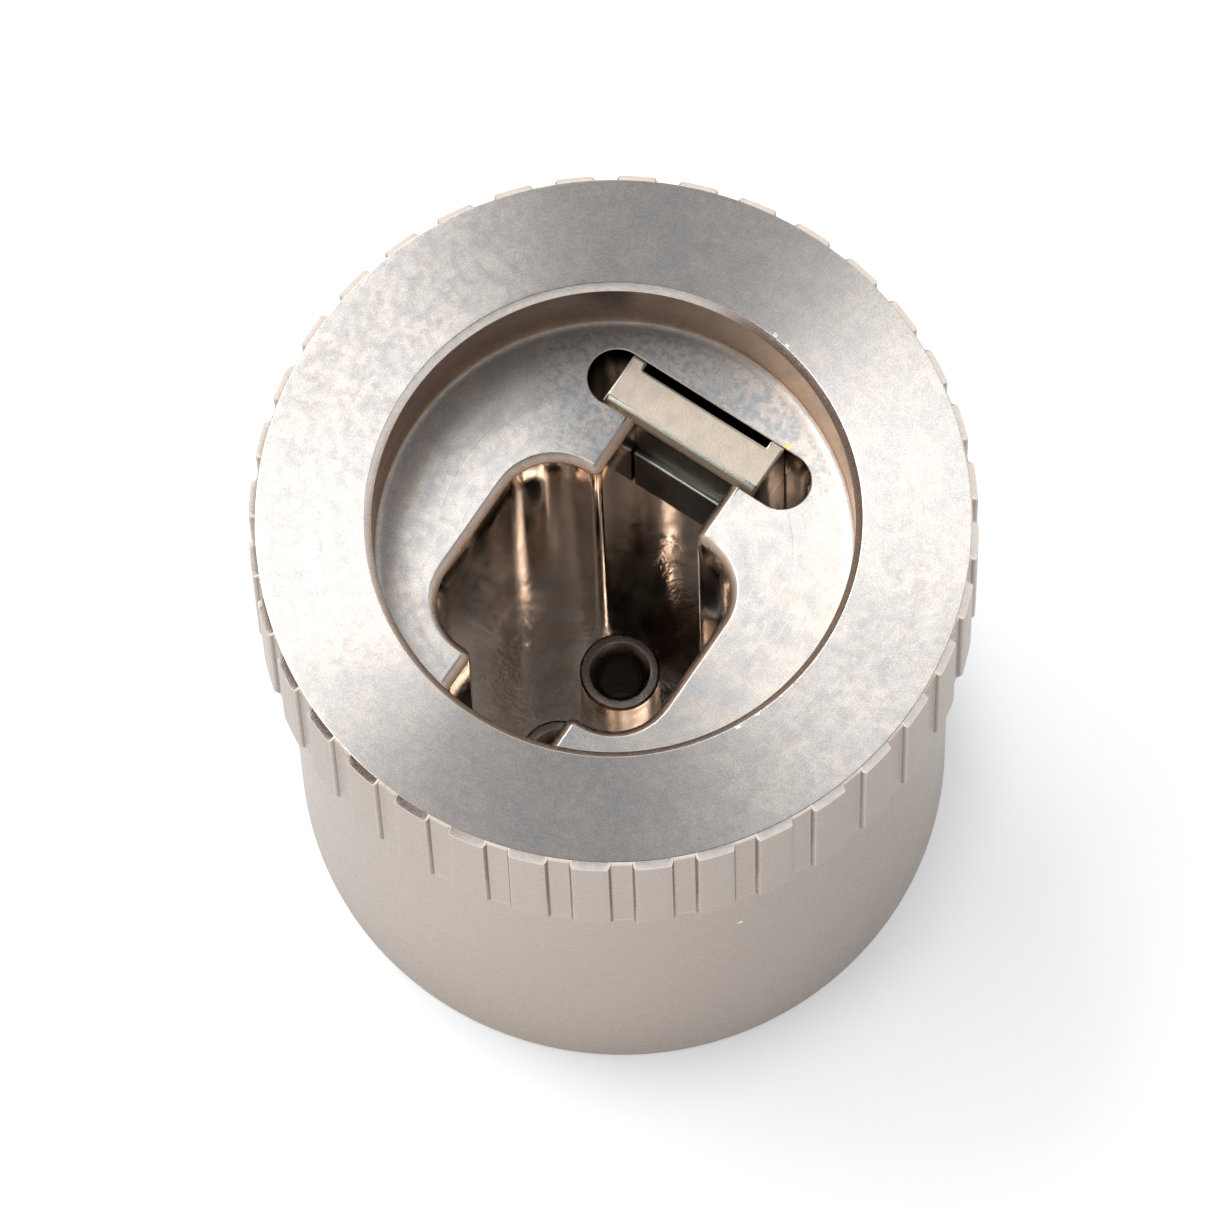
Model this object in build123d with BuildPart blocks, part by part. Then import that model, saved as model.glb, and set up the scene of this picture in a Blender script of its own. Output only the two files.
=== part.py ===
# Front adapter for a duplex fibre plug: one turned and milled metal body, two pressed-in
# ferrule sleeves and a latch block in its slot.
# Millimetres. +Z is the turning axis, up towards the plug port, and the origin is the centre
# of the rear rim that the adapter stands on. The latch side of the port faces +Y.

import os

from build123d import *

os.makedirs("parts", exist_ok=True)

# Turned outside
total_height = 21.4
flange_diameter = 20.0
flange_thickness = 5.5
skirt_diameter = 18.6
rim_break = 0.15

# Grip lands round the flange, with shallow grooves between them
land_count = 36
groove_width = 0.7
groove_depth = 0.15
land_chamfer = 0.2
land_foot_chamfer = 0.1

# Round recess in the top face
recess_diameter = 13.25
recess_depth = 2.8
recess_chamfer = 0.2
recess_fillet = 0.2

# Ferrule sleeves: the first on the turning axis, the second one pitch away from the latch
ferrule_pitch = 3.1
sleeve_diameter = 2.3
sleeve_bore_diameter = 1.27
sleeve_mouth_diameter = 1.74
sleeve_mouth_depth = 0.45
sleeve_edge_break = 0.08
sleeve_standing_height = 2.9

# Plug well, milled straight down from the recess floor to the web over the rear socket
channel_width = 3.2
channel_rim_reach = 4.4
channel_rim_corner = 0.25
bay_width = 7.1
bay_length = 6.1
bay_corner_margin = 0.07
well_chamfer = 0.22
well_edge_margin = 0.06

# Latch slot across the end of the channel
latch_slot_length = 7.1
latch_slot_width = 1.65
latch_slot_reach = 5.75
channel_end_margin = 0.05

# Latch block
latch_block_width = 5.0
latch_block_height = 5.0
latch_block_fit = 0.02
latch_block_shift = -0.2
latch_block_chamfer = 0.2
latch_relief_depth = 0.25
latch_relief_foot = 0.45
hook_drop = 2.25
hook_step = 0.15
hook_side_gap = 0.06
hook_edge_radius = 0.05

# Rear socket that screws on to an instrument, and the web between it and the well
socket_depth = 3.2
web_thickness = 1.2
thread_diameter = 16.0
thread_relief_depth = 0.2
thread_relief_width = 0.6
thread_lead_in = 0.4

# Levels and places that follow from these sizes
flange_foot = total_height - flange_thickness
recess_floor = total_height - recess_depth
socket_ceiling = socket_depth
well_floor = socket_ceiling + web_thickness
well_depth = recess_floor - well_floor
port_centre = -ferrule_pitch / 2
well_edge_radius = well_chamfer + well_edge_margin
bay_corner_radius = (bay_width - channel_width) / 2 - well_edge_radius - bay_corner_margin
sleeve_places = [(0, 0), (0, -ferrule_pitch)]
channel_rim_end = port_centre - channel_rim_reach
latch_slot_centre = port_centre + latch_slot_reach
latch_slot_front = latch_slot_centre - latch_slot_width / 2
latch_slot_back = latch_slot_centre + latch_slot_width / 2
channel_round_centre = latch_slot_back - channel_end_margin - channel_width / 2
latch_seat = recess_floor - latch_block_height

# Body: the turned blank first, as half of its section on the XZ plane
with BuildPart() as adapter_body:
    with BuildSketch(Plane.XZ):
        with BuildLine():
            socket_radius = thread_diameter / 2
            relief_radius = socket_radius + thread_relief_depth
            skirt_radius = skirt_diameter / 2
            flange_radius = flange_diameter / 2
            recess_radius = recess_diameter / 2
            Polyline(
                (0, socket_ceiling),
                (relief_radius, socket_ceiling),
                (relief_radius, socket_ceiling - thread_relief_width),
                (socket_radius, socket_ceiling - thread_relief_width - thread_relief_depth),
                (socket_radius, thread_lead_in),
                (socket_radius + thread_lead_in, 0),
                (skirt_radius - rim_break, 0),
                (skirt_radius, rim_break),
                (skirt_radius, flange_foot),
                (flange_radius - land_foot_chamfer, flange_foot),
                (flange_radius, flange_foot + land_foot_chamfer),
                (flange_radius, total_height - land_chamfer),
                (flange_radius - land_chamfer, total_height),
                (recess_radius + recess_chamfer, total_height),
                (recess_radius, total_height - recess_chamfer),
                (recess_radius, recess_floor),
                (0, recess_floor),
                close=True,
            )
        make_face()
    revolve(axis=Axis.Z)
    corner = adapter_body.edges().filter_by(GeomType.CIRCLE).filter_by_position(
        Axis.Z, recess_floor, recess_floor
    )
    fillet(corner, recess_fillet)

    # Grooves, each cut flat across from the flange's foot to its top face
    with BuildSketch(Plane.XY.offset(flange_foot)):
        groove_floor = flange_radius - groove_depth
        with PolarLocations(groove_floor, land_count, start_angle=180 / land_count):
            Rectangle(flange_diameter, groove_width, align=(Align.MIN, Align.CENTER))
    extrude(amount=flange_thickness, mode=Mode.SUBTRACT)

    # Plug well: a channel for the plug's nose crossed by a wider bay with round corners
    with BuildSketch(Plane.XY.offset(recess_floor)) as well_outline:
        channel_length = channel_round_centre - channel_rim_end
        with Locations((0, channel_rim_end)):
            Rectangle(channel_width, channel_length, align=(Align.CENTER, Align.MIN))
        rim_corners = well_outline.vertices().group_by(Axis.Y)[0]
        fillet(rim_corners, channel_rim_corner)
        with Locations((0, port_centre)):
            RectangleRounded(bay_width, bay_length, bay_corner_radius)
        inner_corners = [
            vertex
            for vertex in well_outline.vertices()
            if abs(abs(vertex.X) - channel_width / 2) < 1e-4
            and abs(abs(vertex.Y - port_centre) - bay_length / 2) < 1e-4
        ]
        fillet(inner_corners, well_edge_radius)
    extrude(amount=-well_depth, mode=Mode.SUBTRACT)
    well_rim = adapter_body.edges(Select.LAST).filter_by_position(
        Axis.Z, recess_floor, recess_floor
    )
    chamfer(well_rim, well_chamfer)

    # The channel ends in a full round behind the latch block
    with BuildSketch(Plane.XY.offset(recess_floor)):
        with Locations((0, channel_round_centre)):
            Circle(channel_width / 2)
    extrude(amount=-well_depth, mode=Mode.SUBTRACT)

    # Latch slot, whose floor carries the block on both sides of the channel
    with BuildSketch(Plane.XY.offset(recess_floor)):
        with Locations((0, latch_slot_centre)):
            SlotOverall(latch_slot_length, latch_slot_width)
    extrude(amount=-latch_block_height, mode=Mode.SUBTRACT)

    # Holes through the web for the sleeves
    with BuildSketch(Plane.XY.offset(socket_ceiling)):
        with Locations(*sleeve_places):
            Circle(sleeve_diameter / 2)
    extrude(amount=web_thickness, mode=Mode.SUBTRACT)

adapter_body.part.label = "adapter_body"
export_step(adapter_body.part, "parts/adapter_body.step")

# Latch block: flush with the recess floor, with a hook that stands out into the channel
with BuildPart() as latch_block:
    block_front = latch_slot_front + latch_block_fit
    block_back = latch_slot_back - latch_block_fit
    with BuildSketch(Plane.XY.offset(latch_seat)) as block_outline:
        with Locations((latch_block_shift, block_front)):
            Rectangle(
                latch_block_width, block_back - block_front, align=(Align.CENTER, Align.MIN)
            )
        with Locations((latch_block_shift, block_back)):
            Rectangle(
                latch_block_width - 2 * latch_relief_foot,
                latch_relief_depth,
                align=(Align.CENTER, Align.MAX),
                mode=Mode.SUBTRACT,
            )
    extrude(amount=latch_block_height)
    top_front_edge = latch_block.edges().group_by(Axis.Z)[-1].sort_by(Axis.Y)[0]
    chamfer(top_front_edge, latch_block_chamfer)

    with BuildSketch(Plane.XY.offset(latch_seat)):
        with Locations((0, block_front)):
            Rectangle(
                channel_width - 2 * hook_side_gap,
                hook_step + latch_block_fit,
                align=(Align.CENTER, Align.MAX),
            )
    extrude(amount=latch_block_height - hook_drop)
    hook_face = latch_block.faces().sort_by(Axis.Y)[0]
    hook_top_edge = hook_face.edges().sort_by(Axis.Z)[-1]
    fillet(hook_top_edge, hook_edge_radius)

latch_block.part.label = "latch_block"
export_step(latch_block.part, "parts/latch_block.step")

# Ferrule sleeves: plain bushes pressed through the web, with a lead-in at the plug's end
for name, place in zip(("axis_ferrule_sleeve", "offset_ferrule_sleeve"), sleeve_places):
    with BuildPart() as ferrule_sleeve:
        sleeve_length = well_floor + sleeve_standing_height - socket_ceiling
        mouth_step = (sleeve_mouth_diameter - sleeve_bore_diameter) / 2
        with BuildSketch(Plane.XY.offset(socket_ceiling)):
            with Locations(place):
                Circle(sleeve_diameter / 2)
        extrude(amount=sleeve_length)
        end_edge = ferrule_sleeve.edges().group_by(Axis.Z)[-1]
        chamfer(end_edge, sleeve_edge_break)
        with BuildSketch(Plane.XY.offset(socket_ceiling)):
            with Locations(place):
                Circle(sleeve_bore_diameter / 2)
        extrude(amount=sleeve_length, mode=Mode.SUBTRACT)
        end_face = ferrule_sleeve.faces().sort_by(Axis.Z)[-1]
        bore_mouth = end_face.edges().sort_by(SortBy.LENGTH)[0]
        chamfer(bore_mouth, mouth_step, sleeve_mouth_depth, reference=end_face)
    ferrule_sleeve.part.label = name
    export_step(ferrule_sleeve.part, f"parts/{name}.step")
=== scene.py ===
import math

import bmesh
import bpy
import numpy as np
from mathutils import Matrix, Vector
from mathutils.geometry import tessellate_polygon


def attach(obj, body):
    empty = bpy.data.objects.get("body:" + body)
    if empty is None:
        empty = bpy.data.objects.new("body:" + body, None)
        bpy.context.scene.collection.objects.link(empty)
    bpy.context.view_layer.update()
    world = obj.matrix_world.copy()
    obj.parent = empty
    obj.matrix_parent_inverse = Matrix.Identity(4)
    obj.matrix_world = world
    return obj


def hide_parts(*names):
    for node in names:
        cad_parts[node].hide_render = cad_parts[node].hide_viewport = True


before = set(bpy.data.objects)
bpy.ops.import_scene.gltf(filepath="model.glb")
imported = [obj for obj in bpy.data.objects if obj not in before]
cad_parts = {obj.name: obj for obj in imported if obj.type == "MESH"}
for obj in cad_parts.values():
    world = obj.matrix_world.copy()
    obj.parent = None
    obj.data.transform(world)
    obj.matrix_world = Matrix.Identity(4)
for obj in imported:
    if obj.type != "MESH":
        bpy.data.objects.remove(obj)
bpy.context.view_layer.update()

mm = 0.001


# Shapes as rows and columns of points

def roundCorners(points, radii, steps=6):
    # each corner becomes an arc: centre on the bisector, tangent to both legs
    points = np.asarray(points, float)
    made = []
    for i, (corner, radius) in enumerate(zip(points, radii)):
        if radius <= 0:
            made.append(corner[None])
            continue
        back = points[i - 1] - corner
        ahead = points[(i + 1) % len(points)] - corner
        back /= np.linalg.norm(back)
        ahead /= np.linalg.norm(ahead)
        half = math.acos(np.clip(back @ ahead, -1, 1)) / 2
        bisector = (back + ahead) / np.linalg.norm(back + ahead)
        centre = corner + bisector * radius / math.sin(half)
        start = corner + back * radius / math.tan(half) - centre
        end = corner + ahead * radius / math.tan(half) - centre
        sweep = math.atan2(start[0] * end[1] - start[1] * end[0], start @ end)
        turn = np.linspace(0, sweep, steps + 1)[:, None]
        across = np.array([-start[1], start[0]])
        made.append(centre + np.cos(turn) * start + np.sin(turn) * across)
    return np.vstack(made)


def densify(line, longest):
    # straight runs longer than the limit are cut into equal shares
    line = np.asarray(line, float)
    made = [line[:1]]
    for a, b in zip(line[:-1], line[1:]):
        count = max(1, math.ceil(np.linalg.norm(b - a) / longest))
        share = np.linspace(0, 1, count + 1)[1:, None]
        made.append(a + (b - a) * share)
    return np.vstack(made)


def gridQuads(rows, columns, first=0, closed=True):
    # quads between neighbouring rows and columns, wrapping round where the grid is closed
    j = np.arange(columns if closed else columns - 1)
    i = np.arange(rows - 1)[:, None]
    ahead = (j + 1) % columns
    a, b = i * columns + j, i * columns + ahead
    return (np.stack([a, b, b + columns, a + columns], axis=-1) + first).reshape(-1, 4)


class Shell:
    # points and faces collected patch by patch, then merged into one closed mesh

    def __init__(self):
        self.points, self.faces, self.slots, self.edges, self.count = [], [], [], [], 0

    def grid(self, points, slot=0, edge=None, closed=True):
        # points has rows, columns and x y z; slot is a material's number for all or for each
        # band between rows, and edge a wear value for each row or point; values below zero are painted shade
        rows, columns = points.shape[:2]
        wear = np.zeros((rows, columns))
        if edge is not None:
            wear += np.asarray(edge, float).reshape(rows, -1)
        quads = gridQuads(rows, columns, self.count, closed)
        slots = np.broadcast_to(np.reshape(slot, (-1, 1)), (rows - 1, len(quads) // (rows - 1)))
        self._keep(points.reshape(-1, 3), quads.tolist(), slots.ravel().tolist(), wear.ravel())

    def flat(self, loops, z, slot=0):
        # a level face inside the first loop and outside the others
        loops3 = [[Vector((x, y, 0)) for x, y in loop] for loop in loops]
        corners = np.vstack(loops)
        triangles = np.array(tessellate_polygon(loops3)) + self.count
        points = np.column_stack([corners, np.full(len(corners), float(z))])
        self._keep(points, triangles.tolist(), [slot] * len(triangles), np.zeros(len(corners)))

    def _keep(self, points, faces, slots, wear):
        self.points.append(points)
        self.faces += faces
        self.slots += slots
        self.edges.append(wear)
        self.count += len(points)

    def build(self, name, materials, sharpAngle=32, replaced=()):
        mesh = bpy.data.meshes.new(name)
        mesh.from_pydata((np.vstack(self.points) * mm).tolist(), [], self.faces)
        mesh.polygons.foreach_set("material_index", np.array(self.slots, np.int32))
        # wear for each point; below zero it marks painted shade
        wear = mesh.attributes.new("edgeWearAndShade", "FLOAT", "POINT")
        wear.data.foreach_set("value", np.concatenate(self.edges).astype(np.float32))
        form = bmesh.new()
        form.from_mesh(mesh)
        bmesh.ops.remove_doubles(form, verts=form.verts, dist=0.0004 * mm)
        bmesh.ops.dissolve_degenerate(form, edges=form.edges, dist=0.0002 * mm)
        bmesh.ops.recalc_face_normals(form, faces=form.faces)
        form.to_mesh(mesh)
        form.free()
        mesh.shade_smooth()
        mesh.set_sharp_from_angle(angle=math.radians(sharpAngle))
        for material in materials:
            mesh.materials.append(material)
        piece = bpy.data.objects.new(name, mesh)
        bpy.context.scene.collection.objects.link(piece)
        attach(piece, "root")
        if replaced:
            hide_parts(*replaced)
        print(name, len(mesh.polygons), "faces")
        return piece


def revolved(profile, angles):
    # x = r cos a, y = r sin a, z from the profile
    r, z = profile[:, 0, None], profile[:, 1, None]
    x, y = r * np.cos(angles), r * np.sin(angles)
    return np.stack([x, y, np.broadcast_to(z, x.shape)], axis=-1)


def circle(centre, radius, count):
    turn = np.arange(count) * 2 * math.pi / count
    return np.column_stack([centre[0] + radius * np.cos(turn), centre[1] + radius * np.sin(turn)])


# Shader helpers

class Nodes:
    # short words for adding and joining shader nodes in one tree

    def __init__(self, tree):
        self.tree = tree
        self.at = 0

    def add(self, kind, values=None, **settings):
        node = self.tree.nodes.new(kind)
        self.at += 1
        node.location = (self.at % 8 * 190, -(self.at // 8) * 260)
        for key, value in settings.items():
            setattr(node, key, value)
        for key, value in (values or {}).items():
            if isinstance(value, bpy.types.NodeSocket):
                self.tree.links.new(value, node.inputs[key])
            else:
                node.inputs[key].default_value = value
        return node

    def math(self, operation, a, b=0.0, c=0.0):
        return self.add("ShaderNodeMath", {0: a, 1: b, 2: c}, operation=operation).outputs[0]

    def span(self, value, low, high, toLow=0.0, toHigh=1.0, smooth=True):
        kind = "SMOOTHSTEP" if smooth else "LINEAR"
        node = self.add(
            "ShaderNodeMapRange",
            {"Value": value, "From Min": low, "From Max": high, "To Min": toLow, "To Max": toHigh},
            interpolation_type=kind,
        )
        return node.outputs["Result"]

    def mix(self, share, a, b, blend="MIX"):
        node = self.add("ShaderNodeMix", data_type="RGBA", blend_type=blend)
        for key, value in ((0, share), (6, a), (7, b)):
            if isinstance(value, bpy.types.NodeSocket):
                self.tree.links.new(value, node.inputs[key])
            else:
                node.inputs[key].default_value = value
        return node.outputs[2]

    def noise(self, vector, scale, detail=3.0, rough=0.55, **more):
        values = {"Scale": scale, "Detail": detail, "Roughness": rough, "Vector": vector}
        return self.add("ShaderNodeTexNoise", values, **more).outputs["Fac"]

    def objectPoint(self):
        return self.add("ShaderNodeTexCoord").outputs["Object"]

    def scaled(self, vector, scale, place=(0, 0, 0), turn=(0, 0, 0)):
        values = {"Vector": vector, "Scale": scale, "Location": place, "Rotation": turn}
        return self.add("ShaderNodeMapping", values).outputs["Vector"]


def group(name, inputs, outputs):
    tree = bpy.data.node_groups.new(name, "ShaderNodeTree")
    for label, kind, value in inputs:
        socket = tree.interface.new_socket(label, in_out="INPUT", socket_type=kind)
        socket.default_value = value
    for label, kind in outputs:
        tree.interface.new_socket(label, in_out="OUTPUT", socket_type=kind)
    n = Nodes(tree)
    return tree, n, n.add("NodeGroupInput"), n.add("NodeGroupOutput")


def turnedMarks():
    # fine lathe marks: noise along r on level faces and along z on round walls
    tree, n, given, out = group(
        "turnedMarks",
        [("Marks per mm", "NodeSocketFloat", 16.0), ("Wander", "NodeSocketFloat", 0.02)],
        [("Fine", "NodeSocketFloat"), ("Coarse", "NodeSocketFloat"), ("Height", "NodeSocketFloat")],
    )
    point = n.scaled(n.objectPoint(), (1000, 1000, 1000))
    split = n.add("ShaderNodeSeparateXYZ", {0: point})
    flatPoint = n.add("ShaderNodeCombineXYZ", {"X": split.outputs["X"], "Y": split.outputs["Y"]})
    reach = n.add("ShaderNodeVectorMath", {0: flatPoint.outputs[0]}, operation="LENGTH")
    along = n.math("ADD", reach.outputs["Value"], split.outputs["Z"])
    sway = n.math("SUBTRACT", n.noise(point, 0.35, 2.0), 0.5)
    along = n.math("MULTIPLY_ADD", sway, given.outputs["Wander"], along)
    turn = n.math("ARCTAN2", split.outputs["Y"], split.outputs["X"])
    ring = n.math("MULTIPLY", along, given.outputs["Marks per mm"])
    wrap = n.add(
        "ShaderNodeCombineXYZ",
        {
            "X": n.math("MULTIPLY", n.math("COSINE", turn), 2.2),
            "Y": n.math("MULTIPLY", n.math("SINE", turn), 2.2),
            "Z": ring,
        },
    )
    fine = n.noise(wrap.outputs[0], 1.0, 3.0, 0.7)
    coarse = n.noise(
        n.scaled(wrap.outputs[0], (0.6, 0.6, 0.16)), 1.0, 2.0, 0.5
    )
    n.tree.links.new(fine, out.inputs["Fine"])
    n.tree.links.new(coarse, out.inputs["Coarse"])
    n.tree.links.new(n.math("MULTIPLY_ADD", coarse, 0.7, fine), out.inputs["Height"])
    return tree


def cloudySheen():
    # soft grey mottling of a thin plating, in two sizes
    tree, n, given, out = group(
        "cloudySheen",
        [("Size mm", "NodeSocketFloat", 1.2), ("Seed", "NodeSocketFloat", 0.0)],
        [("Cloud", "NodeSocketFloat"), ("Grain", "NodeSocketFloat")],
    )
    point = n.scaled(n.objectPoint(), (1000, 1000, 1000))
    shifted = n.add("ShaderNodeVectorMath", {0: point, 1: given.outputs["Seed"]}, operation="ADD")
    scale = n.math("DIVIDE", 1.0, given.outputs["Size mm"])
    cloud = n.add(
        "ShaderNodeTexNoise",
        {"Vector": shifted.outputs[0], "Scale": scale, "Detail": 4.0, "Roughness": 0.62},
    )
    grain = n.add(
        "ShaderNodeTexNoise",
        {"Vector": shifted.outputs[0], "Scale": n.math("MULTIPLY", scale, 9.0), "Detail": 2.0},
    )
    n.tree.links.new(n.span(cloud.outputs["Fac"], 0.36, 0.64), out.inputs["Cloud"])
    n.tree.links.new(n.span(grain.outputs["Fac"], 0.35, 0.65), out.inputs["Grain"])
    return tree


def fineScratches():
    # a few straight hairlines: thin bands of two stretched noises
    tree, n, given, out = group(
        "fineScratches",
        [("Amount", "NodeSocketFloat", 0.5)],
        [("Line", "NodeSocketFloat")],
    )
    point = n.objectPoint()
    lines = []
    for angle, stretch, seed in ((0.5, 900, 3.0), (-0.9, 1200, 8.0), (1.9, 1000, 15.0)):
        turned = n.scaled(point, (stretch * 2.6, stretch * 0.16, stretch * 0.3), (seed, 0, 0), (0, 0, angle))
        value = n.noise(turned, 1.0, 1.0, 0.4)
        thin = n.span(n.math("ABSOLUTE", n.math("SUBTRACT", value, 0.5)), 0.0, 0.006, 1.0, 0.0)
        patch = n.span(n.noise(n.scaled(point, (500, 500, 500), (seed * 3, 1, 0)), 1.0, 1.0), 0.56, 0.66)
        lines.append(n.math("MULTIPLY", thin, patch))
    both = n.math("MAXIMUM", n.math("MAXIMUM", lines[0], lines[1]), lines[2])
    n.tree.links.new(n.math("MULTIPLY", both, given.outputs["Amount"]), out.inputs["Line"])
    return tree


def spotMask():
    # one small uneven spot round a place given in mm
    tree, n, given, out = group(
        "spotMask",
        [("Place", "NodeSocketVector", (0, 0, 0)), ("Reach mm", "NodeSocketFloat", 0.1)],
        [("Spot", "NodeSocketFloat")],
    )
    point = n.scaled(n.objectPoint(), (1000, 1000, 1000))
    gap = n.add("ShaderNodeVectorMath", {0: point, 1: given.outputs["Place"]}, operation="DISTANCE")
    share = n.math("DIVIDE", gap.outputs["Value"], given.outputs["Reach mm"])
    share = n.math("MULTIPLY_ADD", n.noise(point, 14.0, 2.0), 1.4, n.math("SUBTRACT", share, 0.7))
    n.tree.links.new(n.span(share, 0.7, 1.0, 1.0, 0.0), out.inputs["Spot"])
    return tree


marksGroup, sheenGroup, scratchGroup = turnedMarks(), cloudySheen(), fineScratches()
spotGroup = spotMask()


def metal(name, look):
    # one metal finish: colour by cloud and marks, roughness by marks, fine bump, worn edges, and painted shade where
    # the edge attribute is below zero
    material = bpy.data.materials.new(name)
    material.use_nodes = True
    n = Nodes(material.node_tree)
    shader = material.node_tree.nodes["Principled BSDF"]
    shader.inputs["Metallic"].default_value = 1.0
    marks = n.add("ShaderNodeGroup", node_tree=marksGroup)
    marks.inputs["Marks per mm"].default_value = look["marksPerMm"]
    marks.inputs["Wander"].default_value = look.get("wander", 0.02)
    sheen = n.add("ShaderNodeGroup", node_tree=sheenGroup)
    sheen.inputs["Size mm"].default_value = look["cloudSize"]
    sheen.inputs["Seed"].default_value = look.get("seed", 0.0)
    scratch = n.add("ShaderNodeGroup", node_tree=scratchGroup)
    scratch.inputs["Amount"].default_value = look.get("scratches", 0.3)
    cloud = n.math("MULTIPLY", sheen.outputs["Cloud"], look["cloudShare"])
    colour = n.mix(cloud, (*look["colour"], 1), (*look["cloudColour"], 1))
    if look.get("stain"):
        wide = n.add("ShaderNodeGroup", node_tree=sheenGroup)
        wide.inputs["Size mm"].default_value = look["stainSize"]
        wide.inputs["Seed"].default_value = 31.0
        share = n.math("MULTIPLY", wide.outputs["Cloud"], look["stainShare"])
        colour = n.mix(share, colour, (*look["stain"], 1))
    grain = n.span(marks.outputs["Fine"], 0.3, 0.7, 1 - look["markDepth"], 1.0)
    speck = n.span(sheen.outputs["Grain"], 0.0, 1.0, 1 - look.get("speck", 0.04), 1.0)
    shade = n.math("MULTIPLY", grain, speck)
    tone = n.add("ShaderNodeCombineColor", {0: shade, 1: shade, 2: shade})
    colour = n.mix(1.0, colour, tone.outputs[0], "MULTIPLY")
    wear = n.add("ShaderNodeAttribute", attribute_name="edgeWearAndShade").outputs["Fac"]
    wearShare = n.span(wear, 0.0, 1.0, 0.0, look.get("wear", 0.8), smooth=False)
    colour = n.mix(wearShare, colour, (*look.get("wearColour", (0.93, 0.88, 0.82)), 1))
    # below zero the attribute paints shade: near-black is mixed into the groove side walls
    dirt = n.span(wear, 0.0, -1.0, 0.0, look.get("dirt", 0.75), smooth=False)
    colour = n.mix(dirt, colour, (0.10, 0.08, 0.065, 1))
    colour = n.mix(scratch.outputs["Line"], colour, (0.95, 0.92, 0.88, 1))
    if look.get("ringMark"):
        # a faint turned line at one radius, open where the noise is low
        point = n.scaled(n.objectPoint(), (1000, 1000, 0))
        reach = n.add("ShaderNodeVectorMath", {0: point}, operation="LENGTH").outputs["Value"]
        line = n.span(n.math("ABSOLUTE", n.math("SUBTRACT", reach, look["ringMark"])), 0.0, 0.03, 1, 0)
        line = n.math("MULTIPLY", line, n.span(n.noise(point, 0.5, 1.0), 0.42, 0.62, 0.0, 0.4))
        colour = n.mix(line, colour, (0.30, 0.26, 0.22, 1))
    for place, size, perMm, tint in look.get("patches", ()):
        # stains that thin out from one place, broken up by noise
        patch = n.add("ShaderNodeGroup", node_tree=spotGroup)
        patch.inputs["Place"].default_value = place
        patch.inputs["Reach mm"].default_value = size
        broken = n.noise(n.scaled(n.objectPoint(), (1000, 1000, 1000)), perMm, 3.0)
        share = n.math("MULTIPLY", patch.outputs["Spot"], n.span(broken, 0.42, 0.64, 0.0, 0.75))
        colour = n.mix(share, colour, (*tint, 1))
    for place, size, tint in look.get("spots", ()):
        spot = n.add("ShaderNodeGroup", node_tree=spotGroup)
        spot.inputs["Place"].default_value = place
        spot.inputs["Reach mm"].default_value = size
        colour = n.mix(spot.outputs["Spot"], colour, (*tint, 1))
    n.tree.links.new(colour, shader.inputs["Base Color"])
    if look.get("edgeTint"):
        shader.inputs["Specular Tint"].default_value = (*look["edgeTint"], 1)
    low, high = look["rough"]
    rough = n.span(marks.outputs["Coarse"], 0.3, 0.7, low, high)
    rough = n.math("MULTIPLY_ADD", sheen.outputs["Cloud"], look.get("cloudRough", 0.05), rough)
    n.tree.links.new(rough, shader.inputs["Roughness"])
    height = n.math("MULTIPLY_ADD", marks.outputs["Height"], look["markHeight"], sheen.outputs["Grain"])
    bump = n.add("ShaderNodeBump", {"Height": height, "Strength": look["bump"], "Distance": 0.00001})
    if look.get("mottle"):
        ripple = {"Height": sheen.outputs["Cloud"], "Normal": bump.outputs[0]}
        ripple.update({"Strength": look["mottle"], "Distance": 0.00008})
        bump = n.add("ShaderNodeBump", ripple)
    n.tree.links.new(bump.outputs[0], shader.inputs["Normal"])
    if look.get("anisotropy"):
        shader.inputs["Anisotropic"].default_value = look["anisotropy"]
        shader.inputs["Anisotropic Rotation"].default_value = look.get("rotation", 0.25)
        tangent = n.add("ShaderNodeTangent", direction_type="RADIAL", axis="Z")
        n.tree.links.new(tangent.outputs[0], shader.inputs["Tangent"])
    return material


# Body: turned outside, grooves, recess and rear thread

bodySizes = {
    "height": 21.4,
    "flangeRadius": 10.0,
    "flangeThickness": 5.5,
    "skirtRadius": 9.3,
    "rimBreak": 0.15,
    "lands": 36,
    "grooveHalf": 0.35,
    "grooveDepth": 0.15,
    "landChamfer": 0.2,
    "recessRadius": 6.625,
    "recessDepth": 2.8,
    "recessChamfer": 0.2,
    "recessFillet": 0.2,
    "socketRadius": 8.0,
    "reliefRadius": 8.2,
    "ceiling": 3.2,
    "reliefWidth": 0.6,
    "leadIn": 0.4,
    "wellFloor": 4.4,
    "threadPitch": 0.75,
    "threadHeight": 0.41,
    "edgeRound": 0.035,
}

portSizes = {
    "centre": -1.55,
    "channelHalf": 1.6,
    "channelReach": 4.4,
    "rimCorner": 0.25,
    "bayHalf": 3.55,
    "bayHalfLength": 3.05,
    "bayCorner": 1.6,
    "edgeRadius": 0.28,
    "chamfer": 0.22,
    "slotHalf": 3.55,
    "slotFront": 3.375,
    "slotBack": 5.025,
    "roundCentre": 3.375,
    "seat": 13.6,
    "edgeBreak": 0.03,
}

sleevePlaces = ((0.0, 0.0), (0.0, -3.1))

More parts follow.
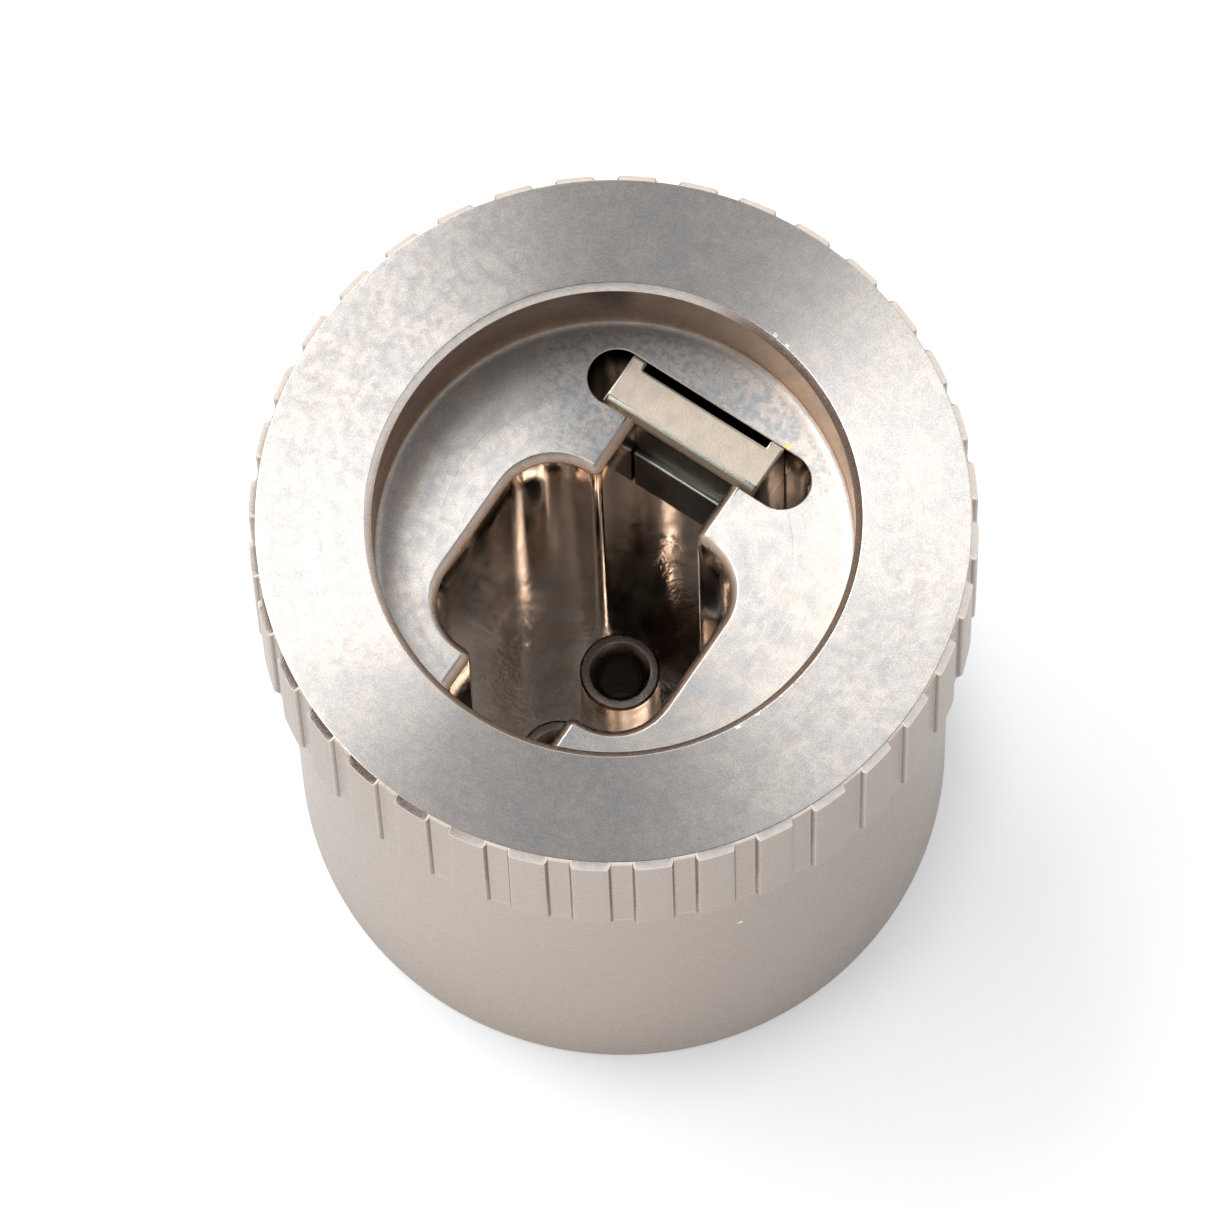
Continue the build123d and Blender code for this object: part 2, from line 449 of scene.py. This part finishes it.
bodyLook = {
    "colour": (0.79, 0.70, 0.63),
    "cloudColour": (0.62, 0.57, 0.54),
    "cloudSize": 0.26,
    "cloudShare": 0.5,
    "marksPerMm": 18.0,
    "markDepth": 0.05,
    "markHeight": 0.4,
    "rough": (0.28, 0.32),
    "bump": 0.08,
    "speck": 0.25,
    "mottle": 0.01,
    "stain": (0.57, 0.555, 0.55),
    "stainSize": 1.1,
    "stainShare": 0.4,
    "cloudRough": 0.06,
    "spots": (
        ((6.13, -3.07, 21.4), 0.09, (1, 1, 1)),
        ((6.37, -2.50, 21.4), 0.08, (1, 1, 1)),
        ((6.60, -1.70, 21.4), 0.07, (1, 1, 1)),
        ((0.78, 6.83, 21.4), 0.08, (1, 1, 1)),
        ((1.21, 6.77, 21.4), 0.07, (1, 1, 1)),
    ),
    "anisotropy": 1.0,
    "wear": 0.7,
    "scratches": 0.22,
}

skirtLook = {
    **bodyLook,
    "colour": (0.52, 0.45, 0.40),
    "cloudColour": (0.50, 0.43, 0.385),
    "cloudRough": 0.02,
    "markDepth": 0.02,
    "edgeTint": (0.72, 0.70, 0.68),
    "rough": (0.25, 0.27),
    "anisotropy": 0.2,
    "bump": 0.04,
    "speck": 0.02,
    "mottle": 0.0,
    "spots": (((7.64, -5.31, 11.54), 0.10, (1, 1, 1)),),
    "stain": None,
    "scratches": 0.1,
}

# recess wall: colour raised above the face's, painted light in the recess
recessLook = {
    **bodyLook,
    "colour": (0.95, 0.76, 0.63),
    "cloudColour": (0.80, 0.63, 0.52),
    "edgeTint": (0.52, 0.43, 0.36),
    "rough": (0.17, 0.22),
    "anisotropy": 0.6,
    "bump": 0.15,
    "speck": 0.05,
    "mottle": 0.02,
    "stain": None,
    "spots": (),
    "scratches": 0.0,
}

recessFloorLook = {
    **bodyLook,
    "colour": (0.80, 0.715, 0.645),
    "cloudColour": (0.68, 0.615, 0.57),
    "edgeTint": (1, 1, 1),
    "rough": (0.34, 0.40),
    "anisotropy": 0.85,
    "stain": (0.50, 0.53, 0.56),
    "stainSize": 0.8,
    "stainShare": 0.45,
    "patches": (
        ((-2.3, 4.4, 18.6), 3.0, 5.0, (0.35, 0.375, 0.40)),
        ((2.2, 5.9, 18.6), 2.6, 4.0, (0.36, 0.385, 0.41)),
        ((0.4, -5.6, 18.6), 2.2, 5.0, (0.36, 0.38, 0.40)),
    ),
    "ringMark": 4.9,
    "spots": (
        ((1.58, 1.72, 18.6), 0.10, (1, 1, 1)),
        ((1.87, 1.78, 18.6), 0.08, (1, 1, 1)),
        ((2.33, 5.10, 18.6), 0.12, (0.80, 0.60, 0.22)),
    ),
}

chamferLook = {
    **recessLook,
    "colour": (0.80, 0.70, 0.62),
    "cloudColour": (0.72, 0.63, 0.56),
    "rough": (0.14, 0.18),
    "anisotropy": 0.0,
    "wear": 0.2,
}

wellRimLook = {
    **chamferLook,
    "colour": (0.84, 0.71, 0.61),
    "cloudColour": (0.72, 0.60, 0.51),
    "rough": (0.26, 0.31),
}

# well floor: colour raised above the walls', painted light at the bottom of the well
wellFloorLook = {
    **recessLook,
    "colour": (0.97, 0.83, 0.72),
    "cloudColour": (0.80, 0.66, 0.56),
    "cloudSize": 0.9,
    "cloudShare": 0.6,
    "marksPerMm": 1.6,
    "markDepth": 0.25,
    "markHeight": 1.5,
    "rough": (0.06, 0.13),
    "bump": 0.10,
    "mottle": 0.06,
    "anisotropy": 0.0,
}

wellLook = {
    "colour": (0.84, 0.715, 0.61),
    "cloudColour": (0.68, 0.565, 0.475),
    "cloudSize": 1.1,
    "cloudShare": 0.5,
    "marksPerMm": 5.0,
    "markDepth": 0.06,
    "markHeight": 0.3,
    "rough": (0.05, 0.10),
    "bump": 0.06,
    "wear": 0.7,
    "scratches": 0.2,
}


def landColumns(s):
    # angles of the columns and how deep the groove is at each: flat floor, steep sides
    half = s["grooveHalf"]
    groove = [-half - 0.05, -half - 0.02, -half + 0.045, -half + 0.075, -0.18, 0.0]
    groove = np.array(groove + [-x for x in groove[-2::-1]])
    depth = np.array([0.0, 0.02, 0.135, 0.15, 0.15, 0.15, 0.15, 0.15, 0.135, 0.02, 0.0])
    pitch = 2 * math.pi / s["lands"]
    turns = groove / s["flangeRadius"]
    land = np.linspace(turns[-1], pitch + turns[0], 7)[1:-1]
    turns = np.concatenate([turns, land])
    depth = np.concatenate([depth, np.zeros(len(land))])
    starts = (np.arange(s["lands"]) + 0.5)[:, None] * pitch
    return (starts + turns).ravel(), np.tile(depth, s["lands"])


def bodyProfile(s):
    # the turned outline from the socket's ceiling round the rim to the recess floor
    e = s["edgeRound"]
    top, foot = s["height"], s["height"] - s["flangeThickness"]
    floor = top - s["recessDepth"]
    ceiling, wall = s["ceiling"], s["socketRadius"]
    reliefEnd = ceiling - s["reliefWidth"]
    corners = [
        (s["reliefRadius"], ceiling, 0),
        (s["reliefRadius"], reliefEnd, 0),
        (wall, reliefEnd - 0.2, 0),
        (wall, s["leadIn"], e),
        (wall + s["leadIn"], 0, e),
        (s["skirtRadius"] - s["rimBreak"], 0, e),
        (s["skirtRadius"], s["rimBreak"], e),
        (s["skirtRadius"], foot, 0),
        (s["flangeRadius"] - 0.1, foot, e),
        (s["flangeRadius"], foot + 0.1, e),
        (s["flangeRadius"], top - s["landChamfer"], e),
        (s["flangeRadius"] - s["landChamfer"], top, e),
        (s["recessRadius"] + s["recessChamfer"], top, e),
        (s["recessRadius"], top - s["recessChamfer"], e),
        (s["recessRadius"], floor, s["recessFillet"]),
        (s["recessRadius"] - s["recessFillet"], floor, 0),
        (s["recessRadius"] - s["recessFillet"] - 0.06, floor, 0),
    ]
    rows, wear = [], []
    points = np.array([c[:2] for c in corners])
    for i, (r, z, radius) in enumerate(corners):
        if radius and i < len(corners) - 1:
            arc = roundCorners(points, [radius if k == i else 0 for k in range(len(points))], 4 if radius < 0.1 else 8)
            piece = arc[i : i + (5 if radius < 0.1 else 9)]
            rows.append(piece)
            wear += [0.0] + [float(radius < 0.1)] * (len(piece) - 2) + [0.0]
        else:
            rows.append(points[i][None])
            wear.append(0.0)
    return guardRows(np.vstack(rows), np.array(wear), 0.07)


def guardRows(line, wear, gap):
    # long runs get a point near each end, so that the rounding stays at the corner
    made, worn = [line[:1]], [0.0]
    for i in range(1, len(line)):
        a, b = line[i - 1], line[i]
        length = np.linalg.norm(b - a)
        if length > 5 * gap:
            step = (b - a) / length * gap
            made += [(a + step)[None], (b - step)[None]]
            worn += [0.0, 0.0]
        made.append(b[None])
        worn.append(wear[i])
    return np.vstack(made), np.array(worn)


def wellPath(p):
    # channel and bay rim, clockwise from the slot's right corner to its left corner
    c, b = p["channelHalf"], p["bayHalf"]
    high, low = p["centre"] + p["bayHalfLength"], p["centre"] - p["bayHalfLength"]
    end = p["centre"] - p["channelReach"]
    right = [
        (c, p["slotFront"], 0),
        (c, high, p["edgeRadius"]),
        (b, high, p["bayCorner"]),
        (b, low, p["bayCorner"]),
        (c, low, p["edgeRadius"]),
        (c, end, p["rimCorner"]),
    ]
    left = [(-x, y, r) for x, y, r in right[::-1]]
    both = right + left
    line = roundCorners([q[:2] for q in both], [q[2] for q in both], 12)
    return densify(line, 0.5)


def slotPath(p):
    # the latch slot's rim from its left front corner round both ends to the right front corner
    middle, radius = (p["slotFront"] + p["slotBack"]) / 2, (p["slotBack"] - p["slotFront"]) / 2
    turn = np.linspace(-math.pi / 2, math.pi / 2, 25)
    x = p["slotHalf"] - radius + radius * np.cos(turn)
    y = middle + radius * np.sin(turn)
    rightEnd = np.column_stack([x, y])
    leftEnd = np.column_stack([-x, y])
    return leftEnd, rightEnd


def buildBody(s, p):
    shell = Shell()
    angles, depth = landColumns(s)
    profile, wear = bodyProfile(s)
    top, foot = s["height"], s["height"] - s["flangeThickness"]
    floor = top - s["recessDepth"]
    # thread rows: many levels along the socket wall between the relief and the lead-in
    isWall = np.isclose(profile[:, 0], s["socketRadius"], atol=0.002)
    wallRows = np.flatnonzero(isWall)
    first, last = wallRows[0], wallRows[-1]
    levels = np.linspace(profile[first, 1], profile[last, 1], 40)[1:-1]
    extra = np.column_stack([np.full(len(levels), s["socketRadius"]), levels])
    profile = np.vstack([profile[: first + 1], extra, profile[last:]])
    wear = np.concatenate([wear[: first + 1], np.zeros(len(levels)), wear[last:]])
    points = revolved(profile, angles)
    r = np.repeat(profile[:, 0, None], len(angles), axis=1)
    z = points[..., 2]
    # groove: the radius is cut back to a flat floor across each groove on the flange
    outer = (profile[:, 1] >= foot - 0.001) & (profile[:, 0] > s["flangeRadius"] - 0.45)
    pitch = 2 * math.pi / s["lands"]
    offset = (angles / pitch - 0.5 - np.round(angles / pitch - 0.5)) * pitch
    flatRadius = (s["flangeRadius"] - depth) / np.cos(offset)
    flatRadius = np.where(depth > 0, flatRadius, s["flangeRadius"])
    r = np.where(outer[:, None], np.minimum(r, flatRadius), r)
    # thread: a ridge of height h wound round the socket wall, one pitch for each turn
    phase = (z / s["threadPitch"] - angles / (2 * math.pi)) % 1.0
    ridge = np.clip(1.0 - np.abs(phase - 0.5) * 2 / 0.875, 0, 0.78) / 0.78
    inside = np.zeros(len(profile), bool)
    inside[first + 1 : first + 1 + len(levels)] = True
    fade = np.clip((z - s["leadIn"] - 0.05) / 0.3, 0, 1) * np.clip((profile[first, 1] - z) / 0.12, 0, 1)
    r = np.where(inside[:, None], r - ridge * fade * s["threadHeight"], r)
    points[..., 0], points[..., 1] = r * np.cos(angles), r * np.sin(angles)
    edge = np.repeat(wear[:, None], len(angles), axis=1)
    onRim = outer & (profile[:, 0] > s["flangeRadius"] - s["landChamfer"] - 0.005)
    edge = np.maximum(edge, 0.45 * (onRim[:, None] & (depth == 0.02)[None]))
    # both side walls of each groove get -1, a painted shade for the shadow in the grooves
    grooveShadeRows = outer & (profile[:, 1] < top - 0.05)
    edge = np.where(grooveShadeRows[:, None] & (depth == 0.135)[None], -1.0, edge)
    # level faces, outside walls, the recess wall and the socket each have their own finish; the recess wall's brighter
    # colour is painted light
    lowEnd, highEnd = profile[:-1], profile[1:]
    steep = np.abs(highEnd[:, 1] - lowEnd[:, 1]) > 1.5 * np.abs(highEnd[:, 0] - lowEnd[:, 0])
    middle = (lowEnd + highEnd) / 2
    sloped = np.abs(highEnd[:, 1] - lowEnd[:, 1]) > 0.3 * np.abs(highEnd[:, 0] - lowEnd[:, 0])
    bored = (middle[:, 0] < 8.8) & (middle[:, 1] > 15)
    band = np.where(bored & (middle[:, 1] < top - s["recessChamfer"]) & steep, 3, 2)
    isCorner = bored & (middle[:, 1] < floor + 1)
    band = np.where(sloped & ~(isCorner & ~steep), band, 0)
    isChamfer = sloped & (middle[:, 1] > top - s["landChamfer"] - 0.01)
    band = np.where(isChamfer, 4, band)
    band = np.where(middle[:, 1] < foot - 0.01, 2, band)
    shell.grid(points, band, edge)
    # recess floor with the opening, then the rim's chamfer and the walls of the well
    path = wellPath(p)
    leftEnd, rightEnd = slotPath(p)
    tangent = np.gradient(path, axis=0)
    tangent /= np.linalg.norm(tangent, axis=1)[:, None]
    outward = np.column_stack([-tangent[:, 1], tangent[:, 0]])
    outward[0], outward[-1] = (1, 0), (-1, 0)
    slotLine = np.vstack([
        [(-p["channelHalf"] - 0.24, p["slotFront"])],
        leftEnd,
        rightEnd[::-1],
        [(p["channelHalf"] + 0.24, p["slotFront"])],
    ])
    slotOut = np.gradient(slotLine, axis=0)
    slotOut /= np.linalg.norm(slotOut, axis=1)[:, None]
    slotOut = np.column_stack([-slotOut[:, 1], slotOut[:, 0]])
    slotOut[0] = slotOut[-1] = (0, -1)
    line = np.vstack([path, slotLine])
    away = np.vstack([outward, slotOut])
    size = np.concatenate([np.full(len(path), p["chamfer"]), np.full(len(slotLine), p["edgeBreak"])])
    rimShape = np.array([
        (1.25, 0.0), (1.07, 0.0), (1.02, -0.012), (0.96, -0.045), (0.05, -0.95), (0.013, -1.02), (0.0, -1.09)
    ])
    rim = line + away * size[:, None] * rimShape[:, 0, None, None]
    level = floor + size * rimShape[:, 1, None]
    rows = [np.dstack([rim, level])]
    for z0 in (16.8, 15.2, p["seat"]):
        rows.append(np.dstack([line[None], np.full((1, len(line)), z0)]))
    rimWear = np.array([0.0, 0.0, 0.5, 0.3, 0.1, 0.6, 0.1, 0, 0, 0])
    shell.grid(np.vstack(rows), [6, 7, 7, 7, 7, 1, 1, 1, 1], rimWear)
    ring = points[-1, :, :2]
    shell.flat([ring, rim[0]], floor, 6)
    # lower wall: the channel ends in a full round behind the latch block
    turn = np.linspace(math.pi, 0, 49)[1:-1]
    roundEnd = np.column_stack([
        p["channelHalf"] * np.cos(turn), p["roundCentre"] + p["channelHalf"] * np.sin(turn)
    ])
    lower = np.vstack([path, roundEnd])
    down = np.linspace(p["seat"], s["wellFloor"], 8)
    shell.grid(np.stack([np.column_stack([lower, np.full(len(lower), z0)]) for z0 in down]), 1)
    cornerLeft, cornerRight = path[-1:], path[:1]
    seat = np.vstack([cornerLeft, slotLine, cornerRight, roundEnd[::-1]])
    shell.flat([seat], p["seat"], 1)
    holes = [circle(place, 1.15, 72) for place in sleevePlaces]
    shell.flat([lower] + holes, s["wellFloor"], 5)
    for hole in holes:
        levels = [s["wellFloor"], s["ceiling"]]
        shell.grid(np.stack([np.column_stack([hole, np.full(72, z0)]) for z0 in levels]), 1)
    shell.flat([points[0, :, :2]] + holes, s["ceiling"], 0)
    return shell.build(
        "adapterBody",
        [
            metal("turnedFace", bodyLook),
            metal("milledWell", wellLook),
            metal("turnedSkirt", skirtLook),
            metal("boredRecess", recessLook),
            metal("turnedChamfer", chamferLook),
            metal("milledWellFloor", wellFloorLook),
            metal("recessFloor", recessFloorLook),
            metal("wellRim", wellRimLook),
        ],
        30, ["adapter_body"],
    )


body = buildBody(bodySizes, portSizes)

# Latch block

blockSizes = {
    "left": -2.7,
    "right": 2.3,
    "front": 3.395,
    "back": 5.005,
    "top": 18.6,
    "seat": 13.6,
    "chamfer": 0.2,
    "relief": 0.25,
    "foot": 0.45,
    "hookHalf": 1.54,
    "hookOut": 0.17,
    "hookLevel": 16.35,
}

blockLook = {
    "colour": (0.67, 0.565, 0.465),
    "cloudColour": (0.60, 0.505, 0.415),
    "cloudSize": 0.5,
    "cloudShare": 0.4,
    "marksPerMm": 3.0,
    "markDepth": 0.03,
    "markHeight": 0.1,
    "rough": (0.46, 0.54),
    "bump": 0.14,
    "speck": 0.06,
    "spots": (((2.16, 5.02, 18.6), 0.13, (0.78, 0.60, 0.25)),),
    "wear": 0.6,
    "wearColour": (0.85, 0.80, 0.72),
    "scratches": 0.1,
}

# sides and front of the block in the well: its own metal darkened to near black, a painted shade
shadedBlockSideLook = {
    **blockLook,
    "colour": (0.07, 0.06, 0.049),
    "cloudColour": (0.05, 0.043, 0.035),
    "rough": (0.16, 0.22),
    "bump": 0.1,
    "wear": 0.8,
    "wearColour": (0.80, 0.79, 0.70),
    "spots": (),
}

# front chamfer: the block's metal made darker than the top, a painted shade
blockChamferLook = {
    **shadedBlockSideLook,
    "colour": (0.40, 0.36, 0.29),
    "cloudColour": (0.33, 0.30, 0.24),
    "rough": (0.26, 0.32),
}


def buildBlock(b):
    # outline from above, carried up; the front steps back over the hook and at the chamfer
    foot = b["foot"]
    corners = [
        (b["left"], b["front"], 0.04),
        (-b["hookHalf"], b["front"], 0),
        (-b["hookHalf"], b["front"], 0),
        (b["hookHalf"], b["front"], 0),
        (b["hookHalf"], b["front"], 0),
        (b["right"], b["front"], 0.04),
        (b["right"], b["back"], 0.06),
        (b["right"] - foot, b["back"], 0.04),
        (b["right"] - foot, b["back"] - b["relief"], 0.05),
        (b["left"] + foot, b["back"] - b["relief"], 0.05),
        (b["left"] + foot, b["back"], 0.04),
        (b["left"], b["back"], 0.06),
    ]
    line = roundCorners([c[:2] for c in corners], [c[2] for c in corners], 5)
    isHook = np.isclose(line[:, 1], b["front"]) & np.isclose(np.abs(line[:, 0]), b["hookHalf"])
    hookAt = np.flatnonzero(isHook)
    hookIn = np.zeros(len(line))
    hookIn[hookAt[1:3]] = 1.0
    tangent = np.roll(line, -1, axis=0) - np.roll(line, 1, axis=0)
    tangent /= np.linalg.norm(tangent, axis=1)[:, None]
    inward = np.column_stack([-tangent[:, 1], tangent[:, 0]])
    inward[hookAt] = (0, 1)
    isFront = np.isclose(line[:, 1], b["front"], atol=0.03) & (np.abs(line[:, 1] - b["front"]) < 0.03)
    top, hook, level = b["top"], b["hookOut"], b["hookLevel"]
    seatGuard = b["seat"] + 0.12
    # level, hook's reach, inset all round, extra inset along the front, wear (along the hook's edge also a painted
    # highlight)
    steps = [
        (b["seat"], hook, 0.04, 0.0, 0.3),
        (b["seat"] + 0.04, hook, 0.0, 0.0, 0.3),
        (seatGuard, hook, 0.0, 0.0, 0.0),
        (level - 0.12, hook, 0.0, 0.0, 0.0),
        (level - 0.05, hook, 0.0, 0.0, 0.3),
        (level - 0.02, hook - 0.008, 0.0, 0.0, 1.0),
        (level - 0.006, hook - 0.022, 0.0, 0.0, 1.0),
        (level, hook - 0.05, 0.0, 0.0, 0.7),
        (level, hook - 0.08, 0.0, 0.0, 0.0),
        (level, 0.0, 0.0, 0.0, 0.0),
        (top - b["chamfer"] - 0.02, 0.0, 0.0, 0.0, 0.0),
        (top - b["chamfer"] + 0.01, 0.0, 0.0, 0.018, 0.5),
        (top - b["chamfer"] + 0.05, 0.0, 0.0, 0.05, 0.0),
        (top - 0.06, 0.0, 0.0, b["chamfer"] - 0.065, 0.0),
        (top - 0.035, 0.0, 0.0, b["chamfer"] - 0.04, 0.2),
        (top - 0.012, 0.0, 0.012, b["chamfer"] - 0.012, 0.8),
        (top, 0.0, 0.04, b["chamfer"], 0.4),
        (top, 0.0, 0.075, b["chamfer"], 0.0),
    ]
    rows = []
    for z0, reach, inset, frontInset, _ in steps:
        row = line + inward * inset
        row[:, 1] += np.where(isFront, frontInset, 0.0) - hookIn * reach
        rows.append(np.column_stack([row, np.full(len(row), z0)]))
    shell = Shell()
    rows = np.stack(rows)
    levels = rows[1:, 0, 2]
    shell.grid(rows, np.where(levels > top - b["chamfer"] + 0.005, 2, 1), [s[4] for s in steps])
    shell.flat([rows[-1][:, :2]], top, 0)
    shell.flat([rows[0][:, :2]], b["seat"], 1)
    materials = [
        metal("blastedTop", blockLook),
        metal("paintedShadeSides", shadedBlockSideLook),
        metal("blockChamfer", blockChamferLook),
    ]
    return shell.build("latchBlock", materials, 30, ["latch_block"])


block = buildBlock(blockSizes)

# Ferrule sleeves

sleeveSizes = {
    "outer": 1.15,
    "bore": 0.635,
    "mouth": 0.87,
    "mouthDepth": 0.45,
    "edgeBreak": 0.08,
    "foot": 3.2,
    "top": 7.3,
}

sleeveLook = {
    "colour": (0.66, 0.56, 0.48),
    "cloudColour": (0.50, 0.42, 0.36),
    "cloudSize": 0.6,
    "cloudShare": 0.5,
    "marksPerMm": 22.0,
    "markDepth": 0.12,
    "markHeight": 0.6,
    "rough": (0.24, 0.32),
    "bump": 0.12,
    "wear": 0.5,
    "scratches": 0.0,
}

# end face: the sleeve's metal darkened, a painted shade for the dark it reflects
sleeveEndLook = {
    **sleeveLook,
    "colour": (0.27, 0.225, 0.195),
    "cloudColour": (0.20, 0.165, 0.145),
    "wear": 0.3,
}

sleeveBoreLook = {
    **sleeveLook,
    "colour": (0.50, 0.42, 0.37),
    "cloudColour": (0.36, 0.30, 0.26),
    "rough": (0.16, 0.24),
    "markDepth": 0.2,
}


def buildSleeve(name, place, finishes, replaced, v):
    # one closed ring section turned about the sleeve's own axis
    e = v["edgeBreak"]
    corners = [
        (v["bore"], v["foot"], 0.02),
        (v["outer"], v["foot"], 0.02),
        (v["outer"], v["top"] - e, 0.02),
        (v["outer"] - e, v["top"], 0.02),
        (v["mouth"], v["top"], 0.02),
        (v["bore"], v["top"] - v["mouthDepth"], 0.03),
    ]
    ring = roundCorners([c[:2] for c in corners], [c[2] for c in corners], 4)
    wear = np.tile([0.2, 0.8, 1.0, 0.8, 0.2], len(corners))
    ring, wear = np.vstack([ring, ring[:1]]), np.append(wear, wear[0])
    angles = np.arange(96) * 2 * math.pi / 96
    points = revolved(ring, angles) + np.array([*place, 0.0])
    shell = Shell()
    # end face, with painted shade in its colour, and the bore with its lead-in, each have their own finish
    middle = (ring[:-1] + ring[1:]) / 2
    band = np.where(middle[:, 1] > v["top"] - 0.01, 1, 0)
    band = np.where(middle[:, 0] < v["bore"] + 0.01, 2, band)
    shell.grid(points, band, wear)
    return shell.build(name, finishes, 30, [replaced])


sleeveFinishes = [
    metal("turnedSleeve", sleeveLook),
    metal("sleeveEnd", sleeveEndLook),
    metal("sleeveBore", sleeveBoreLook),
]
for name, place, node in (
    ("axisFerruleSleeve", sleevePlaces[0], "axis_ferrule_sleeve"),
    ("offsetFerruleSleeve", sleevePlaces[1], "offset_ferrule_sleeve"),
):
    buildSleeve(name, place, sleeveFinishes, node, sleeveSizes)


# Floor, light and camera

stageSizes = {
    "floorReach": 3.0,
    "floorColour": (0.90, 0.895, 0.89),
    "floorGlow": 0.48,
    "worldLow": 1.0,
    "worldHigh": 0.54,
    "worldColour": (0.935, 0.985, 1.04),
    "dimColour": (1.25, 0.92, 0.80),
    "dimSides": (
        ((62.0, 48.0), (0.40, 0.92), (0.28, 0.50), 0.22),
        ((-59.0, 6.0), (0.50, 0.62), (0.50, 0.34), 0.12),
    ),
}


def buildStage(s):
    bpy.ops.mesh.primitive_plane_add(size=s["floorReach"] * 2, location=(0, 0, -0.00002))
    floor = bpy.context.object
    floor.name = "floor"
    paper = bpy.data.materials.new("palePaper")
    paper.use_nodes = True
    n = Nodes(paper.node_tree)
    shader = paper.node_tree.nodes["Principled BSDF"]
    shader.inputs["Roughness"].default_value = 0.9
    shader.inputs["Specular IOR Level"].default_value = 0.0
    shader.inputs["Base Color"].default_value = (*s["floorColour"], 1)
    paths = n.add("ShaderNodeLightPath")
    seen = n.math("MAXIMUM", paths.outputs["Is Camera Ray"], paths.outputs["Is Glossy Ray"])
    seen = n.math("MAXIMUM", seen, paths.outputs["Is Transmission Ray"])
    shader.inputs["Emission Color"].default_value = (1, 1, 1, 1)
    # the glow fades out from 11.8 mm to 5 mm from the axis: a painted shadow under and round the adapter
    reach = n.add("ShaderNodeVectorMath", {0: n.objectPoint()}, operation="LENGTH").outputs["Value"]
    shadowFade = n.span(reach, 0.005, 0.0118)
    glow = n.math("MULTIPLY", n.math("MULTIPLY", seen, s["floorGlow"]), shadowFade)
    n.tree.links.new(glow, shader.inputs["Emission Strength"])
    floor.data.materials.append(paper)

    world = bpy.data.worlds.new("studio")
    bpy.context.scene.world = world
    world.use_nodes = True
    n = Nodes(world.node_tree)
    back = world.node_tree.nodes["Background"]
    way = n.add("ShaderNodeTexCoord").outputs["Generated"]
    height = n.add("ShaderNodeSeparateXYZ", {0: way}).outputs["Z"]
    level = n.span(height, 0.25, 0.85, s["worldLow"], s["worldHigh"])
    # two sides of the room are dim: azimuth and elevation, reach, heights, and what is left
    for (azimuth, elevation), reach, heights, left in s["dimSides"]:
        a, e = math.radians(azimuth), math.radians(elevation)
        dark = (math.sin(a) * math.cos(e), -math.cos(a) * math.cos(e), math.sin(e))
        towards = n.add("ShaderNodeVectorMath", {0: way, 1: dark}, operation="DOT_PRODUCT")
        dim = n.span(towards.outputs["Value"], *reach, 0.0, 1.0 - left)
        dim = n.math("MULTIPLY", dim, n.span(height, *heights))
        level = n.math("MULTIPLY", level, n.math("SUBTRACT", 1.0, dim))
    # the low left side is a brown dark
    colour = n.mix(dim, (*s["worldColour"], 1), (*s["dimColour"], 1))
    n.tree.links.new(colour, back.inputs["Color"])
    n.tree.links.new(level, back.inputs["Strength"])


cameraFit = {
    "azimuth": 36.1,
    "elevation": 72.44,
    "roll": -2.454,
    "focal": 12866.0,
    "distance": 352.0,
    "seenAt": (613.44, 518.13),
    "centre": (614.5, 615.0),
    "width": 1229.0,
    "target": (0.0, 0.0, 21.4),
}


def cameraWay(c):
    a, e = math.radians(c["azimuth"]), math.radians(c["elevation"])
    return -np.array([math.sin(a) * math.cos(e), -math.cos(a) * math.cos(e), math.sin(e)])


def buildCamera(c):
    # the pinhole fitted to the round edges: the target lands on its measured pixel
    way = cameraWay(c)
    right = np.array([math.cos(math.radians(c["azimuth"])), math.sin(math.radians(c["azimuth"])), 0.0])
    up = np.cross(right, way)
    roll = math.radians(c["roll"])
    right, up = math.cos(roll) * right + math.sin(roll) * up, math.cos(roll) * up - math.sin(roll) * right
    x = (c["seenAt"][0] - c["centre"][0]) / c["focal"] * c["distance"]
    y = -(c["seenAt"][1] - c["centre"][1]) / c["focal"] * c["distance"]
    place = np.array(c["target"]) - (way * c["distance"] + right * x + up * y)
    data = bpy.data.cameras.new("camera")
    data.sensor_width = 36.0
    data.lens = c["focal"] / c["width"] * 36.0
    data.clip_start, data.clip_end = 0.01, 20.0
    camera = bpy.data.objects.new("camera", data)
    bpy.context.scene.collection.objects.link(camera)
    frameAxes = np.column_stack([right, up, -way])
    camera.matrix_world = Matrix.Translation(place * mm) @ Matrix(frameAxes.tolist()).to_4x4()
    bpy.context.scene.camera = camera


def softLight(name, azimuth, elevation, longWay, distance, size, power, colour):
    # angles as the camera's: the lamp faces the object's middle, its long side along longWay
    a, e = math.radians(azimuth), math.radians(elevation)
    away = Vector((math.sin(a) * math.cos(e), -math.cos(a) * math.cos(e), math.sin(e)))
    data = bpy.data.lights.new(name, "AREA")
    data.shape = "RECTANGLE"
    data.size, data.size_y = size
    data.energy = power
    data.color = colour
    lamp = bpy.data.objects.new(name, data)
    bpy.context.scene.collection.objects.link(lamp)
    w = math.radians(longWay)
    side = Vector((math.sin(w), -math.cos(w), 0))
    side = (side - away * side.dot(away)).normalized()
    axes = Matrix((side, away.cross(side), away)).transposed()
    lamp.matrix_world = Matrix.Translation(Vector((0, 0, 0.011)) + away * distance) @ axes.to_4x4()


buildStage(stageSizes)
buildCamera(cameraFit)
near = cameraFit["azimuth"]
coolWhite = (0.95, 0.985, 1.0)
softLight("topSoftbox", near - 155, 69, near - 8, 0.5, (0.15, 0.05), 0.10, coolWhite)
softLight("highSoftbox", near - 140, 59.5, near - 8, 0.5, (0.36, 0.17), 0.91, coolWhite)
softLight("leftFill", near - 95, 42, near - 3, 0.5, (0.5, 0.2), 0.9, coolWhite)
print("stage, lamps and camera ready")

bpy.context.scene.view_settings.view_transform = "Standard"
